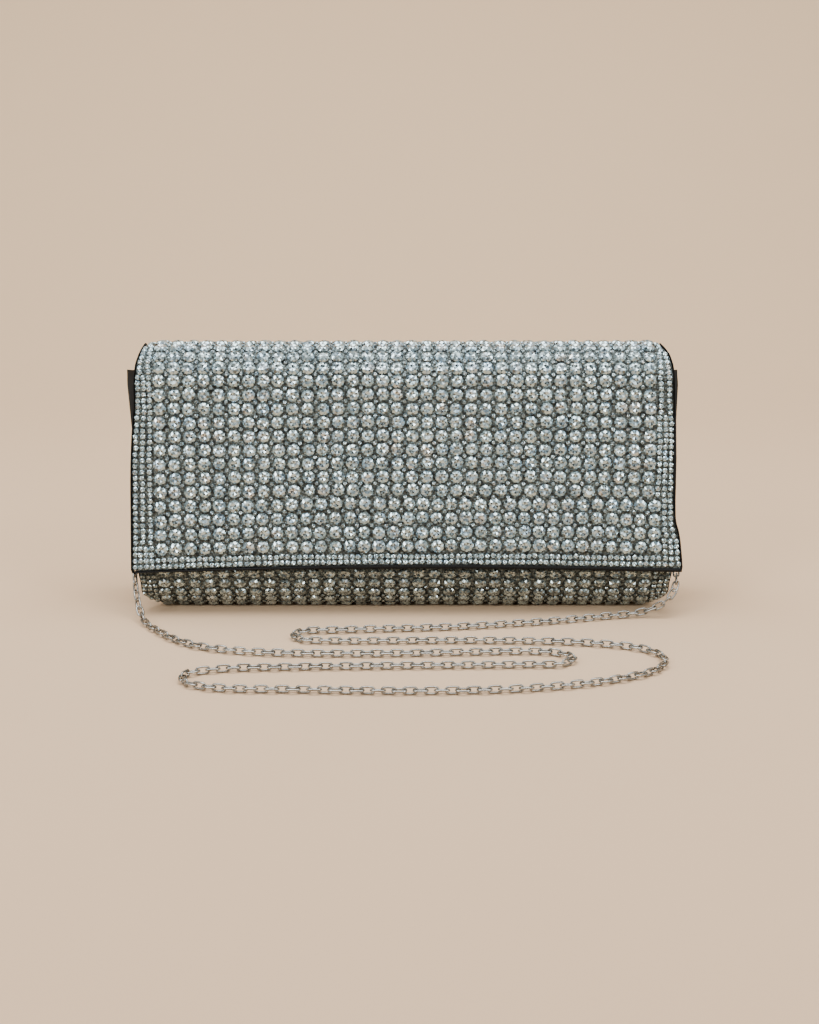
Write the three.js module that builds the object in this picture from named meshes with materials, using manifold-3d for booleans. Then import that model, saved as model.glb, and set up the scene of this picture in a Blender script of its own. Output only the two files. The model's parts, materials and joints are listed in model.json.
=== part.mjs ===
// Evening clutch: a semi-rigid purse covered in crystal-set mesh, with a fold-over flap,
// folded end gussets and a loose cable chain. Millimetres, +Z up, front towards -Y.
// The origin is at the middle of the purse's base, on the surface that it stands on.
import * as THREE from 'three';
import { mergeVertices } from 'three/addons/utils/BufferGeometryUtils.js';
import Module from 'manifold-3d';

const wasm = await Module();
wasm.setup();

// ---- layers, measured inwards from the crystal tips ----
const GAP = 0.3;
const COVER = 2.0;
const BOARD = 1.6;
const LINING = 0.6;
const BOARD_FROM = COVER + GAP;
const BOARD_TO = BOARD_FROM + BOARD;
const LINING_FROM = BOARD_TO + GAP;
const WALL = LINING_FROM + LINING;
const FLAP_CLEARANCE = 0.5;

// ---- side profile ----
const FRONT_LEAN = THREE.MathUtils.degToRad(8);
const BACK_LEAN = THREE.MathUtils.degToRad(2.9);
const FLAP_FRONT_Y = -26;
const HEM_Z = 22.5;
const FOLD_RADIUS = 18;
const FOLD_CENTRE_Z = 105;
const BASE_FRONT_RADIUS = 23;
const BASE_BACK_RADIUS = 20;
const BASE_EDGE_RADIUS = 6;
const BASE_EDGE_ANGLE = THREE.MathUtils.degToRad(58);
const BACK_Y = 25.8;
const MOUTH_Z = 105;

// ---- widths ----
const BODY_HALF = 121;
const BASE_HALF = 111;
const CORNER_Z = 26;
const FLAP_TOP_HALF = 121.5;
const FLAP_HEM_HALF = 125;
const BINDING = 0.8;
const HEM_BINDING = 1.6;

// ---- gussets ----
const GUSSET_LOW_Z = 7.5;
const GUSSET_FRONT_TOP_Z = 109.5;
const GUSSET_BACK_TOP_Z = 105;
const GUSSET_LOW_HALF = 119.3;
const GUSSET_TOP_HALF = 125.5;
const GUSSET_FOLD_HALF = 100;

// ---- snap ----
const SNAP_Z = 46;
const SNAP_RADIUS = 9;
const SNAP_HOLE_RADIUS = SNAP_RADIUS + GAP;
const SOCKET_BORE_RADIUS = 3.5;
const STUD_RADIUS = 2.2;
const STUD_LENGTH = 1.5;
const WASHER_RADIUS = 7;
const WASHER = 0.6;

// ---- end hardware ----
const RING_X = 116.5;
const RING_Y = 4.3;
const RING_BAR_Z = 90;
const RING_DROP = 10;
const RING_HALF = 5;
const RING_WIRE = 0.8;
const TAB_WIDTH = 7;
const TAB_STRAP = 1.4;
const TAB_TOP_Z = 98;
const CLASP_THICKNESS = 2.2;
const HOOK_Z = 76.4;
const HOOK_INNER = [2.2, 4.6];
const HOOK_OUTER = [3.6, 6.2];
const EYE_Z = 68.4;
const EYE_RADIUS = 1.9;
const EYE_BORE = 1.0;
const TRIGGER_Z = [72.7, 77.5];
const TRIGGER_FOOT_GAP = 0.6;
const PIN_Y = 2.9;
const PIN_Z = 74.0;
const PIN_RADIUS = 0.35;
const LINK_RING_RADIUS = 2.2;
const LINK_RING_WIRE = 0.45;

// ---- slip pocket, on the back lining ----
const POCKET_HALF = 62;
const POCKET_Z = [24, 82];
const POCKET_DEPTH = 2.2;
const POCKET_CLOTH = 0.6;

// ---- chain ----
const CHAIN_RADIUS = 1.6;
const CHAIN_SIDES = 8;
const CHAIN_STEPS = 80;
const FLOOR = 1.9;

const MATERIALS = {
  crystal: [0xb9c4c6, 0.2, 0.35],
  board: [0x4a4846, 0.9, 0.0],
  satin: [0x16161a, 0.55, 0.0],
  edging: [0x0d0d10, 0.6, 0.0],
  nickel: [0xc4c3bf, 0.25, 1.0],
  chain: [0xbfc0bd, 0.25, 1.0],
};

const purse = new THREE.Group();

function addPiece(name, geometry, slot) {
  const [color, roughness, metalness] = MATERIALS[slot];
  const material = new THREE.MeshStandardMaterial({ color, roughness, metalness });
  const mesh = new THREE.Mesh(geometry, material);
  mesh.name = name;
  purse.add(mesh);
  return mesh;
}

// ---- solids for joining and cutting ----
function toSolid(geometry) {
  const plain = geometry.clone();
  plain.deleteAttribute('normal');
  plain.deleteAttribute('uv');
  const merged = mergeVertices(plain, 1e-4);
  const vertProperties = new Float32Array(merged.attributes.position.array);
  const triVerts = new Uint32Array(merged.index.array);
  return new wasm.Manifold(new wasm.Mesh({ numProp: 3, vertProperties, triVerts }));
}

function fromSolid(solid) {
  const mesh = solid.getMesh();
  const geometry = new THREE.BufferGeometry();
  geometry.setAttribute('position', new THREE.BufferAttribute(mesh.vertProperties, 3));
  geometry.setIndex(new THREE.BufferAttribute(mesh.triVerts, 1));
  return geometry;
}

function cut(geometry, ...tools) {
  return fromSolid(tools.reduce((solid, tool) => solid.subtract(toSolid(tool)), toSolid(geometry)));
}

// ---- the side profile, as points in the YZ plane ----
// A surface is described by its outward normal's angle above -Y (front) or +Y (back).
const frontNormal = new THREE.Vector2(-Math.cos(FRONT_LEAN), Math.sin(FRONT_LEAN));
const backNormal = new THREE.Vector2(Math.cos(BACK_LEAN), Math.sin(BACK_LEAN));
const flapFoot = new THREE.Vector2(FLAP_FRONT_Y, HEM_Z);
const backFoot = new THREE.Vector2(BACK_Y, HEM_Z);
const bodyFoot = flapFoot.clone().addScaledVector(frontNormal, -(WALL + FLAP_CLEARANCE));

// the y at which a line through `foot` with this normal has its surface `depth` inwards, at height z
function lineY(foot, normal, depth, z) {
  return foot.x - (depth + (z - foot.y) * normal.y) / normal.x;
}

// the centre, at height z, of an arc of this radius that touches the line
function arcCentre(foot, normal, radius, z) {
  return new THREE.Vector2(lineY(foot, normal, radius, z), z);
}

const foldCentre = arcCentre(flapFoot, frontNormal, FOLD_RADIUS, FOLD_CENTRE_Z);
const edgeDrop = (radius) => (radius - BASE_EDGE_RADIUS) * Math.sin(BASE_EDGE_ANGLE) + BASE_EDGE_RADIUS;
const frontArc = arcCentre(bodyFoot, frontNormal, BASE_FRONT_RADIUS, edgeDrop(BASE_FRONT_RADIUS));
const backArc = arcCentre(backFoot, backNormal, BASE_BACK_RADIUS, edgeDrop(BASE_BACK_RADIUS));

function arcPoints(centre, radius, from, to, steps) {
  const points = [];
  for (let i = 0; i <= steps; i += 1) {
    const angle = from + (to - from) * (i / steps);
    points.push(new THREE.Vector2(centre.x + radius * Math.cos(angle), centre.y + radius * Math.sin(angle)));
  }
  return points;
}

function linePoints(foot, normal, depth, fromZ, toZ, steps) {
  const points = [];
  for (let i = 0; i <= steps; i += 1) {
    const z = fromZ + (toZ - fromZ) * (i / steps);
    points.push(new THREE.Vector2(lineY(foot, normal, depth, z), z));
  }
  return points;
}

// where the front and back walls meet the base, and where the back meets the flap
const frontTopZ = (depth) => MOUTH_Z - depth * frontNormal.y;
const frontLowZ = (depth) => frontArc.y + (BASE_FRONT_RADIUS - depth) * frontNormal.y;
const backLowZ = (depth) => backArc.y + (BASE_BACK_RADIUS - depth) * backNormal.y;
const hingeZ = (depth) => foldCentre.y + (FOLD_RADIUS - depth) * backNormal.y;

const frontWall = (depth) =>
  linePoints(bodyFoot, frontNormal, depth, frontTopZ(depth), frontLowZ(depth) + GAP / 2, 6);

const backWall = (depth) =>
  linePoints(backFoot, backNormal, depth, backLowZ(depth) + GAP / 2, hingeZ(depth) - GAP / 2, 6);

// the rounded bottom: a wide arc and a tight one at the front, a flat, and the same at the back
function baseWall(depth) {
  const edge = BASE_EDGE_RADIUS;
  const inset = (radius) => radius - edge;
  const frontTight = new THREE.Vector2(
    frontArc.x - inset(BASE_FRONT_RADIUS) * Math.cos(BASE_EDGE_ANGLE), edge);
  const backTight = new THREE.Vector2(
    backArc.x + inset(BASE_BACK_RADIUS) * Math.cos(BASE_EDGE_ANGLE), edge);
  const trimFront = GAP / 2 / (BASE_FRONT_RADIUS - depth);
  const trimBack = GAP / 2 / (BASE_BACK_RADIUS - depth);
  const low = Math.PI * 1.5;
  return [
    ...arcPoints(frontArc, BASE_FRONT_RADIUS - depth, Math.PI - FRONT_LEAN + trimFront,
      Math.PI + BASE_EDGE_ANGLE, 10),
    ...arcPoints(frontTight, edge - depth, Math.PI + BASE_EDGE_ANGLE, low, 4).slice(1),
    ...arcPoints(backTight, edge - depth, low, Math.PI * 2 - BASE_EDGE_ANGLE, 4),
    ...arcPoints(backArc, BASE_BACK_RADIUS - depth, Math.PI * 2 - BASE_EDGE_ANGLE,
      Math.PI * 2 + BACK_LEAN - trimBack, 10).slice(1),
  ];
}

// over the top from the hinge line, then down the front to the hem
function flapWall(depth, hemZ = HEM_Z) {
  const trim = GAP / 2 / (FOLD_RADIUS - depth);
  const frontZ = foldCentre.y + (FOLD_RADIUS - depth) * frontNormal.y;
  return [
    ...arcPoints(foldCentre, FOLD_RADIUS - depth, BACK_LEAN + trim, Math.PI - FRONT_LEAN, 20),
    ...linePoints(flapFoot, frontNormal, depth, frontZ, hemZ - depth * frontNormal.y, 6).slice(1),
  ];
}

// ---- widths by height ----
function bodyHalf(z) {
  if (z >= CORNER_Z) return BODY_HALF;
  const t = (CORNER_Z - Math.max(z, 0)) / CORNER_Z;
  return BASE_HALF + (BODY_HALF - BASE_HALF) * Math.sqrt(1 - t * t);
}

function flapHalf(z) {
  const t = THREE.MathUtils.clamp((FOLD_CENTRE_Z - z) / (FOLD_CENTRE_Z - HEM_Z), 0, 1);
  return THREE.MathUtils.lerp(FLAP_TOP_HALF, FLAP_HEM_HALF, t);
}

// ---- a layer of wall: the profile between two depths, as wide as `half` says at each height ----
function layer(wall, from, to, half) {
  const shape = new THREE.Shape([...wall(from), ...wall(to).reverse()]);
  const geometry = new THREE.ExtrudeGeometry(shape, { depth: 2, steps: 1, bevelEnabled: false });
  const position = geometry.attributes.position;
  for (let i = 0; i < position.count; i += 1) {
    const y = position.getX(i);
    const z = position.getY(i);
    position.setXYZ(i, (position.getZ(i) - 1) * half(z), y, z);
  }
  return geometry;
}

// turns a lathe about +Y into a piece whose axis is the wall's outward normal at this height
function onWall(geometry, foot, normal, depth, z) {
  const direction = new THREE.Vector3(0, normal.x, normal.y);
  const turn = new THREE.Quaternion().setFromUnitVectors(new THREE.Vector3(0, 1, 0), direction);
  geometry.applyQuaternion(turn);
  return geometry.translate(0, lineY(foot, normal, 0, z) - depth * normal.x, z - depth * normal.y);
}

function lathe(profile, segments = 32) {
  return new THREE.LatheGeometry(profile.map(([r, h]) => new THREE.Vector2(r, h)), segments);
}

const disc = (radius, low, high) => lathe([[0, low], [radius, low], [radius, high], [0, high]]);
const snapHole = (foot) => onWall(disc(SNAP_HOLE_RADIUS, -8, 1), foot, frontNormal, 0, SNAP_Z);

// ---- walls ----
function addWalls() {
  const frontHole = snapHole(bodyFoot);
  addPiece('front_cover', cut(layer(frontWall, 0, COVER, bodyHalf), frontHole), 'crystal');
  addPiece('front_board', cut(layer(frontWall, BOARD_FROM, BOARD_TO, bodyHalf), frontHole), 'board');
  addPiece('front_lining', layer(frontWall, LINING_FROM, WALL, bodyHalf), 'satin');
  for (const [name, wall] of [['base', baseWall], ['back', backWall]]) {
    addPiece(`${name}_cover`, layer(wall, 0, COVER, bodyHalf), 'crystal');
    addPiece(`${name}_board`, layer(wall, BOARD_FROM, BOARD_TO, bodyHalf), 'board');
    addPiece(`${name}_lining`, layer(wall, LINING_FROM, WALL, bodyHalf), 'satin');
  }
}

// a flat strip along the mouth's front edge, over the three layers
function addMouthBinding() {
  const strip = (depth) =>
    linePoints(bodyFoot, frontNormal, depth, frontTopZ(depth) + GAP, frontTopZ(depth) + GAP + 1.4, 1);
  addPiece('mouth_binding', layer(strip, 0, WALL, bodyHalf), 'edging');
}

// ---- flap ----
function addFlap() {
  const half = (z) => flapHalf(z) - BINDING - GAP;
  const hole = snapHole(flapFoot);
  const hem = (depth) => flapWall(depth, HEM_Z);
  addPiece('flap_cover', layer(hem, 0, COVER, half), 'crystal');
  addPiece('flap_board', cut(layer(hem, BOARD_FROM, BOARD_TO, half), hole), 'board');
  addPiece('flap_lining', cut(layer(hem, LINING_FROM, WALL, half), hole), 'satin');
  const whole = layer((depth) => flapWall(depth, HEM_Z - GAP - HEM_BINDING), GAP, WALL, flapHalf);
  const middle = flapRoom(half);
  addPiece('flap_binding', cut(whole, middle), 'edging');
}

// the room that the flap's three layers take, with a gap round them
function flapRoom(half) {
  const past = 3;
  const wall = (depth) => {
    const points = flapWall(depth, HEM_Z - GAP);
    const first = points[0];
    return [new THREE.Vector2(first.x, first.y - past), ...points];
  };
  return layer(wall, -past, WALL + past, (z) => half(z) + GAP);
}

// ---- magnetic snap ----
function addSnap() {
  const socket = lathe([
    [0, -2.9], [SNAP_RADIUS, -2.9], [SNAP_RADIUS, -0.2], [SOCKET_BORE_RADIUS, -0.2],
    [SOCKET_BORE_RADIUS, -2.1], [0, -2.1],
  ]);
  addPiece('snap_socket', onWall(socket, bodyFoot, frontNormal, 0, SNAP_Z), 'nickel');
  const socketWasher = disc(WASHER_RADIUS, -2.9 - GAP - WASHER, -2.9 - GAP);
  addPiece('socket_washer', onWall(socketWasher, bodyFoot, frontNormal, 0, SNAP_Z), 'nickel');
  const stud = lathe([
    [0, -WALL - STUD_LENGTH], [STUD_RADIUS, -WALL - STUD_LENGTH], [STUD_RADIUS, -WALL],
    [SNAP_RADIUS, -WALL], [SNAP_RADIUS, -3.3], [0, -3.3],
  ]);
  addPiece('snap_stud', onWall(stud, flapFoot, frontNormal, 0, SNAP_Z), 'nickel');
  const studWasher = disc(WASHER_RADIUS, -3.3 + GAP, -3.3 + GAP + WASHER);
  addPiece('stud_washer', onWall(studWasher, flapFoot, frontNormal, 0, SNAP_Z), 'nickel');
}

// ---- gussets: a V-fold at each end, its fold inwards ----
function gussetHalf(z) {
  const t = THREE.MathUtils.clamp((z - GUSSET_LOW_Z) / (GUSSET_FRONT_TOP_Z - GUSSET_LOW_Z), 0, 1);
  return GUSSET_LOW_HALF + (GUSSET_TOP_HALF - GUSSET_LOW_HALF) * t * t;
}

function insideY(z, foot, normal, centre, radius, lowZ) {
  if (z > lowZ) return lineY(foot, normal, WALL + GAP, z);
  const reach = radius - WALL - GAP;
  return centre.x + Math.sign(normal.x) * Math.sqrt(reach * reach - (z - centre.y) ** 2);
}

const insideFrontY = (z) =>
  insideY(z, bodyFoot, frontNormal, frontArc, BASE_FRONT_RADIUS, frontLowZ(WALL));
const insideBackY = (z) =>
  insideY(z, backFoot, backNormal, backArc, BASE_BACK_RADIUS, backLowZ(WALL));

// across: 0 at the front wall and 1 at the back one; inwards: 0 at the outer edge and 1 at the fold
function gusset(side) {
  const fold = [[0, 0], [1, 0.5], [0, 1], [0, 0.955], [0.9, 0.5], [0, 0.045]];
  const shape = new THREE.Shape(fold.map(([inwards, across]) => new THREE.Vector2(inwards, across)));
  const geometry = new THREE.ExtrudeGeometry(shape, { depth: 1, steps: 10, bevelEnabled: false });
  const position = geometry.attributes.position;
  for (let i = 0; i < position.count; i += 1) {
    const inwards = position.getX(i);
    const across = position.getY(i);
    const topZ = THREE.MathUtils.lerp(GUSSET_FRONT_TOP_Z, GUSSET_BACK_TOP_Z, across);
    const z = THREE.MathUtils.lerp(GUSSET_LOW_Z, topZ, position.getZ(i));
    const x = THREE.MathUtils.lerp(gussetHalf(z), GUSSET_FOLD_HALF, inwards);
    position.setXYZ(i, -x, THREE.MathUtils.lerp(insideFrontY(z), insideBackY(z), across), z);
  }
  return side < 0 ? geometry : mirrored(geometry);
}

// the same shape on the other side of the purse, with its faces still pointing out
function mirrored(geometry) {
  const flipped = geometry.index ? geometry.toNonIndexed() : geometry.clone();
  flipped.scale(-1, 1, 1);
  const position = flipped.attributes.position;
  const a = new THREE.Vector3();
  const b = new THREE.Vector3();
  for (let i = 0; i < position.count; i += 3) {
    a.fromBufferAttribute(position, i);
    b.fromBufferAttribute(position, i + 1);
    position.setXYZ(i, b.x, b.y, b.z);
    position.setXYZ(i + 1, a.x, a.y, a.z);
  }
  return flipped;
}

// ---- slip pocket: a cloth panel with folded-in sides and foot, open at the top ----
function addSlipPocket() {
  const block = (from, to, inset, lowZ, highZ) =>
    layer((depth) => linePoints(backFoot, backNormal, depth, lowZ, highZ, 1), from, to,
      () => POCKET_HALF - inset);
  const from = WALL + GAP;
  const whole = block(from, from + POCKET_DEPTH, 0, POCKET_Z[0], POCKET_Z[1]);
  const room = block(from - 1, from + POCKET_DEPTH - POCKET_CLOTH, POCKET_CLOTH,
    POCKET_Z[0] + POCKET_CLOTH, POCKET_Z[1] + 1);
  addPiece('slip_pocket', cut(whole, room), 'satin');
}

// ---- wire rings: a torus laid along any closed curve, flat across `flat` ----
function wireLoop(points, wire, flat, around = 28) {
  const curve = new THREE.CatmullRomCurve3(points, true, 'centripetal');
  const geometry = new THREE.TorusGeometry(2, 1, 8, around);
  const { position, uv } = geometry.attributes;
  for (let i = 0; i < position.count; i += 1) {
    const along = uv.getX(i) % 1;
    const angle = uv.getY(i) * Math.PI * 2;
    const outwards = new THREE.Vector3().crossVectors(curve.getTangentAt(along), flat);
    const point = curve.getPointAt(along);
    point.addScaledVector(outwards, Math.cos(angle) * wire);
    point.addScaledVector(flat, Math.sin(angle) * wire);
    position.setXYZ(i, point.x, point.y, point.z);
  }
  return geometry;
}

// ---- end hardware, made for the left end ----
const atEnd = (y, z) => new THREE.Vector3(-RING_X, RING_Y + y, z);

function dRing() {
  const corner = RING_HALF - 1;
  const points = [[-corner, 0], [0, 0], [corner, 0], [RING_HALF, -1.2]];
  for (let i = 0; i <= 8; i += 1) {
    const angle = (Math.PI * (i + 0.5)) / 9;
    points.push([RING_HALF * Math.cos(angle), -3.4 - (RING_DROP - 3.4) * Math.sin(angle)]);
  }
  points.push([-RING_HALF, -1.2]);
  const loop = points.map(([x, z]) => atEnd(0, RING_BAR_Z + z).add(new THREE.Vector3(x, 0, 0)));
  return wireLoop(loop, RING_WIRE, new THREE.Vector3(0, 1, 0), 40);
}

// a strap round the ring's bar, with its tail up to the gusset's back half
function ringTab() {
  const bore = RING_WIRE + GAP;
  const outer = bore + TAB_STRAP;
  const tail = Math.PI / 3;
  const shape = new THREE.Shape();
  shape.absarc(0, 0, outer, Math.PI / 2, Math.PI * 2 + tail / 2, false);
  shape.lineTo(4.6, TAB_TOP_Z - RING_BAR_Z);
  shape.lineTo(3.2, TAB_TOP_Z - RING_BAR_Z);
  shape.closePath();
  const hole = new THREE.Path();
  hole.absarc(0, 0, bore, 0, Math.PI * 2, true);
  shape.holes.push(hole);
  const options = { depth: TAB_WIDTH, steps: 1, bevelEnabled: false, curveSegments: 12 };
  return alongX(new THREE.ExtrudeGeometry(shape, options), TAB_WIDTH, RING_BAR_Z);
}

// lays an outline drawn in (y, z) across the end's middle line, with its thickness along X
function alongX(geometry, thickness, z) {
  const turn = new THREE.Matrix4().makeBasis(
    new THREE.Vector3(0, 1, 0), new THREE.Vector3(0, 0, 1), new THREE.Vector3(1, 0, 0));
  geometry.applyMatrix4(turn);
  return geometry.translate(-RING_X - thickness / 2, RING_Y, z);
}

function plate(shape, thickness, segments = 20) {
  const options = { depth: thickness, steps: 1, bevelEnabled: false, curveSegments: segments };
  return alongX(new THREE.ExtrudeGeometry(shape, options), thickness, 0);
}

function ellipse([a, b], y, z) {
  const shape = new THREE.Shape();
  shape.absellipse(y, z, a, b, 0, Math.PI * 2, false, 0);
  return shape;
}

function rectangle(y0, y1, z0, z1) {
  return new THREE.Shape([[y0, z0], [y1, z0], [y1, z1], [y0, z1]].map(([y, z]) => new THREE.Vector2(y, z)));
}

const overThick = CLASP_THICKNESS + 1;
const pinBore = () => plate(ellipse([PIN_RADIUS + 0.15, PIN_RADIUS + 0.15], PIN_Y, PIN_Z), overThick, 12);

// a lobster clasp: a hook with an eye below it, and a gap at one side that the trigger closes
function clasp() {
  const body = toSolid(plate(ellipse(HOOK_OUTER, 0, HOOK_Z), CLASP_THICKNESS))
    .add(toSolid(plate(ellipse([EYE_RADIUS, EYE_RADIUS], 0, EYE_Z), CLASP_THICKNESS)));
  const room = plate(ellipse(HOOK_INNER, 0, HOOK_Z), overThick);
  const eye = plate(ellipse([EYE_BORE, EYE_BORE], 0, EYE_Z), overThick);
  const mouth = plate(rectangle(0.6, 6, TRIGGER_Z[0], TRIGGER_Z[1]), overThick);
  return fromSolid([room, eye, mouth].reduce((solid, tool) => solid.subtract(toSolid(tool)), body));
}

function trigger() {
  const rim = toSolid(plate(ellipse(HOOK_OUTER, 0, HOOK_Z), CLASP_THICKNESS))
    .subtract(toSolid(plate(ellipse(HOOK_INNER, 0, HOOK_Z), overThick)));
  const span = plate(rectangle(1.0, 6, TRIGGER_Z[0] + TRIGGER_FOOT_GAP, TRIGGER_Z[1] - GAP), overThick);
  return fromSolid(rim.intersect(toSolid(span)).subtract(toSolid(pinBore())));
}

const claspPin = () => plate(ellipse([PIN_RADIUS, PIN_RADIUS], PIN_Y, PIN_Z), CLASP_THICKNESS, 12);

function linkRing() {
  const points = [];
  for (let i = 0; i < 12; i += 1) {
    const angle = (Math.PI * 2 * i) / 12;
    const across = new THREE.Vector3(LINK_RING_RADIUS * Math.cos(angle), 0, 0);
    const z = EYE_Z + 0.2 - LINK_RING_RADIUS + LINK_RING_RADIUS * Math.sin(angle);
    points.push(atEnd(0, z).add(across));
  }
  return wireLoop(points, LINK_RING_WIRE, new THREE.Vector3(0, 1, 0), 24);
}

function addEnds() {
  const pieces = [
    ['ring_tab', ringTab(), 'satin'],
    ['d_ring', dRing(), 'nickel'],
    ['clasp', clasp(), 'nickel'],
    ['clasp_trigger', trigger(), 'nickel'],
    ['clasp_pin', claspPin(), 'nickel'],
    ['link_ring', linkRing(), 'nickel'],
  ];
  addPiece('gusset_left', gusset(-1), 'satin');
  addPiece('gusset_right', gusset(1), 'satin');
  for (const [name, geometry, slot] of pieces) {
    addPiece(`${name}_left`, geometry, slot);
    addPiece(`${name}_right`, mirrored(geometry), slot);
  }
}

// ---- chain: its route, hung from the left clasp, laid in long folds and up to the right one ----
const HANG = [
  [116.5, 4.3, 63.2], [116.7, 3.9, 52], [118.6, -0.5, 39], [122.9, -10.5, 29], [123.5, -18.3, 18.8],
];
const FOLDS = [
  [-123.3, -25.5, 10], [-122.6, -32, 4], [-119.5, -39.5, FLOOR], [-110, -51.5, FLOOR],
  [-96, -64.5, FLOOR], [-80, -73.4, FLOOR], [-58, -78.9, FLOOR], [-14, -80, FLOOR],
  [28, -78.2, FLOOR], [52, -77.2, FLOOR], [64.5, -79.4, FLOOR], [69.8, -86, FLOOR],
  [64.5, -92.4, FLOOR], [50, -93.3, FLOOR], [0, -94.6, FLOOR], [-52, -96.4, FLOOR],
  [-77, -98.8, FLOOR], [-89, -104.6, FLOOR], [-88.4, -113, FLOOR], [-77, -119.4, FLOOR],
  [-40, -121.8, FLOOR], [6, -123.2, FLOOR], [50, -120, FLOOR], [84, -110.4, FLOOR],
  [102.5, -98.8, FLOOR], [107.7, -86, FLOOR], [101, -74.4, FLOOR], [80, -66.8, FLOOR],
  [36, -63.4, FLOOR], [-34, -63.6, FLOOR], [-45.4, -62, FLOOR], [-49.4, -56.4, FLOOR],
  [-44.6, -50.8, FLOOR], [-30, -49.2, FLOOR], [18, -45.2, FLOOR], [62, -37.6, FLOOR],
  [92, -29.6, FLOOR], [108, -27, 3], [117, -27.4, 7.2], [121.9, -25.6, 12.4],
];

function addChain() {
  const left = HANG.map(([x, y, z]) => [-x, y, z]);
  const right = [...HANG].reverse();
  const route = [...left, ...FOLDS, ...right].map((point) => new THREE.Vector3(...point));
  const path = new THREE.CatmullRomCurve3(route, false, 'centripetal');
  path.arcLengthDivisions = 2000;
  const section = new THREE.Shape();
  for (let i = 0; i < CHAIN_SIDES; i += 1) {
    const angle = (Math.PI * 2 * (i + 0.5)) / CHAIN_SIDES;
    const corner = [CHAIN_RADIUS * Math.cos(angle), CHAIN_RADIUS * Math.sin(angle)];
    if (i === 0) section.moveTo(...corner);
    else section.lineTo(...corner);
  }
  section.closePath();
  addPiece('shoulder_chain', new THREE.ExtrudeGeometry(section, {
    steps: CHAIN_STEPS, extrudePath: path,
  }), 'chain');
}

addWalls();
addMouthBinding();
addFlap();
addSnap();
addSlipPocket();
addEnds();
addChain();

export default purse;
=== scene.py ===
import json
import math

import bpy
import numpy as np
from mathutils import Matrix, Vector, noise


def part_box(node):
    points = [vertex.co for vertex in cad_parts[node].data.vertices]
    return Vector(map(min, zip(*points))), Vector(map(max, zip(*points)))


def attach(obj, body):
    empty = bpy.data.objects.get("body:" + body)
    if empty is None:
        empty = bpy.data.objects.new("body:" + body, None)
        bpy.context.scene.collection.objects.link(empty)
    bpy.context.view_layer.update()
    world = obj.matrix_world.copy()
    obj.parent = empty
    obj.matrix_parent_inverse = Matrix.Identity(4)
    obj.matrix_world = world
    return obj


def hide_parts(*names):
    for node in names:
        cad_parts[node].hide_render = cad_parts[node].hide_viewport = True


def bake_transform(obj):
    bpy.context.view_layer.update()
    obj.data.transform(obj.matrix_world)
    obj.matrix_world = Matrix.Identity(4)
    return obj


# An evening clutch set with crystals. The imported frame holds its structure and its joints;
# this script gives it its stones, mesh, satin, edging, hardware and chain.
# Lengths are in millimetres, and are turned into metres where a mesh is made.

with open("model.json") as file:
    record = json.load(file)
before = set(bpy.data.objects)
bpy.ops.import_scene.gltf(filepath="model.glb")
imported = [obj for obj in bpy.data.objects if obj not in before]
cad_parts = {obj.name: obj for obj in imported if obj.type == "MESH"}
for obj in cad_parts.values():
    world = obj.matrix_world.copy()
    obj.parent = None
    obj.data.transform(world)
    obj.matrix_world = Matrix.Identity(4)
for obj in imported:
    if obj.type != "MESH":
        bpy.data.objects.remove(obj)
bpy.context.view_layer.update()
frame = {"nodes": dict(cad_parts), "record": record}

MM = 0.001
RANDOM = np.random.default_rng(20)
JOINTS = {joint["name"]: joint for joint in frame["record"]["behaviour"]["joints"]}


def node_box(name):
    """A node's lowest and highest corners, in millimetres."""
    low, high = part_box(name)
    return np.array(low) / MM, np.array(high) / MM


# ---- driving dimensions, those of the CAD part or read from its frame ----
FRONT_LEAN = math.radians(8)
BACK_LEAN = math.radians(2.9)
FOLD_RADIUS = 18.0
BASE_FRONT_RADIUS = 23.0
BASE_BACK_RADIUS = 20.0
BASE_EDGE_RADIUS = 6.0
BASE_EDGE_ANGLE = math.radians(58)
WALL = 4.8
CORNER_Z = 26.0
HEM_Z = 22.5
FLAP_FRONT_Y = float(node_box("flap_cover")[0][1])
BODY_HALF = float(node_box("back_cover")[1][0])
BASE_HALF = 111.0
MOUTH_Z = float(node_box("front_cover")[1][2])
HINGE = np.array(JOINTS["flap_hinge"]["pos_m"]) / MM
MOUTH_HINGE = np.array(JOINTS["mouth_hinge"]["pos_m"]) / MM

# ---- stones ----
LARGE_RADIUS = 2.94
BODY_LARGE_RADIUS = 2.92
FILL_RADIUS = 1.02
BORDER_RADIUS = 1.22
BORDER_PITCH = 2.68
FLAP_ROW_PITCH = 6.33
BODY_ROW_PITCH = 5.6
MESH_DEPTH = 1.5
COVER = 2.0

# ---- chain ----
CHAIN_PITCH = 4.18
LINK_LENGTH = 6.5
LINK_WIDTH = 3.6
LINK_WIRE = 0.9
FLOOR_Z = 1.9
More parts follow.
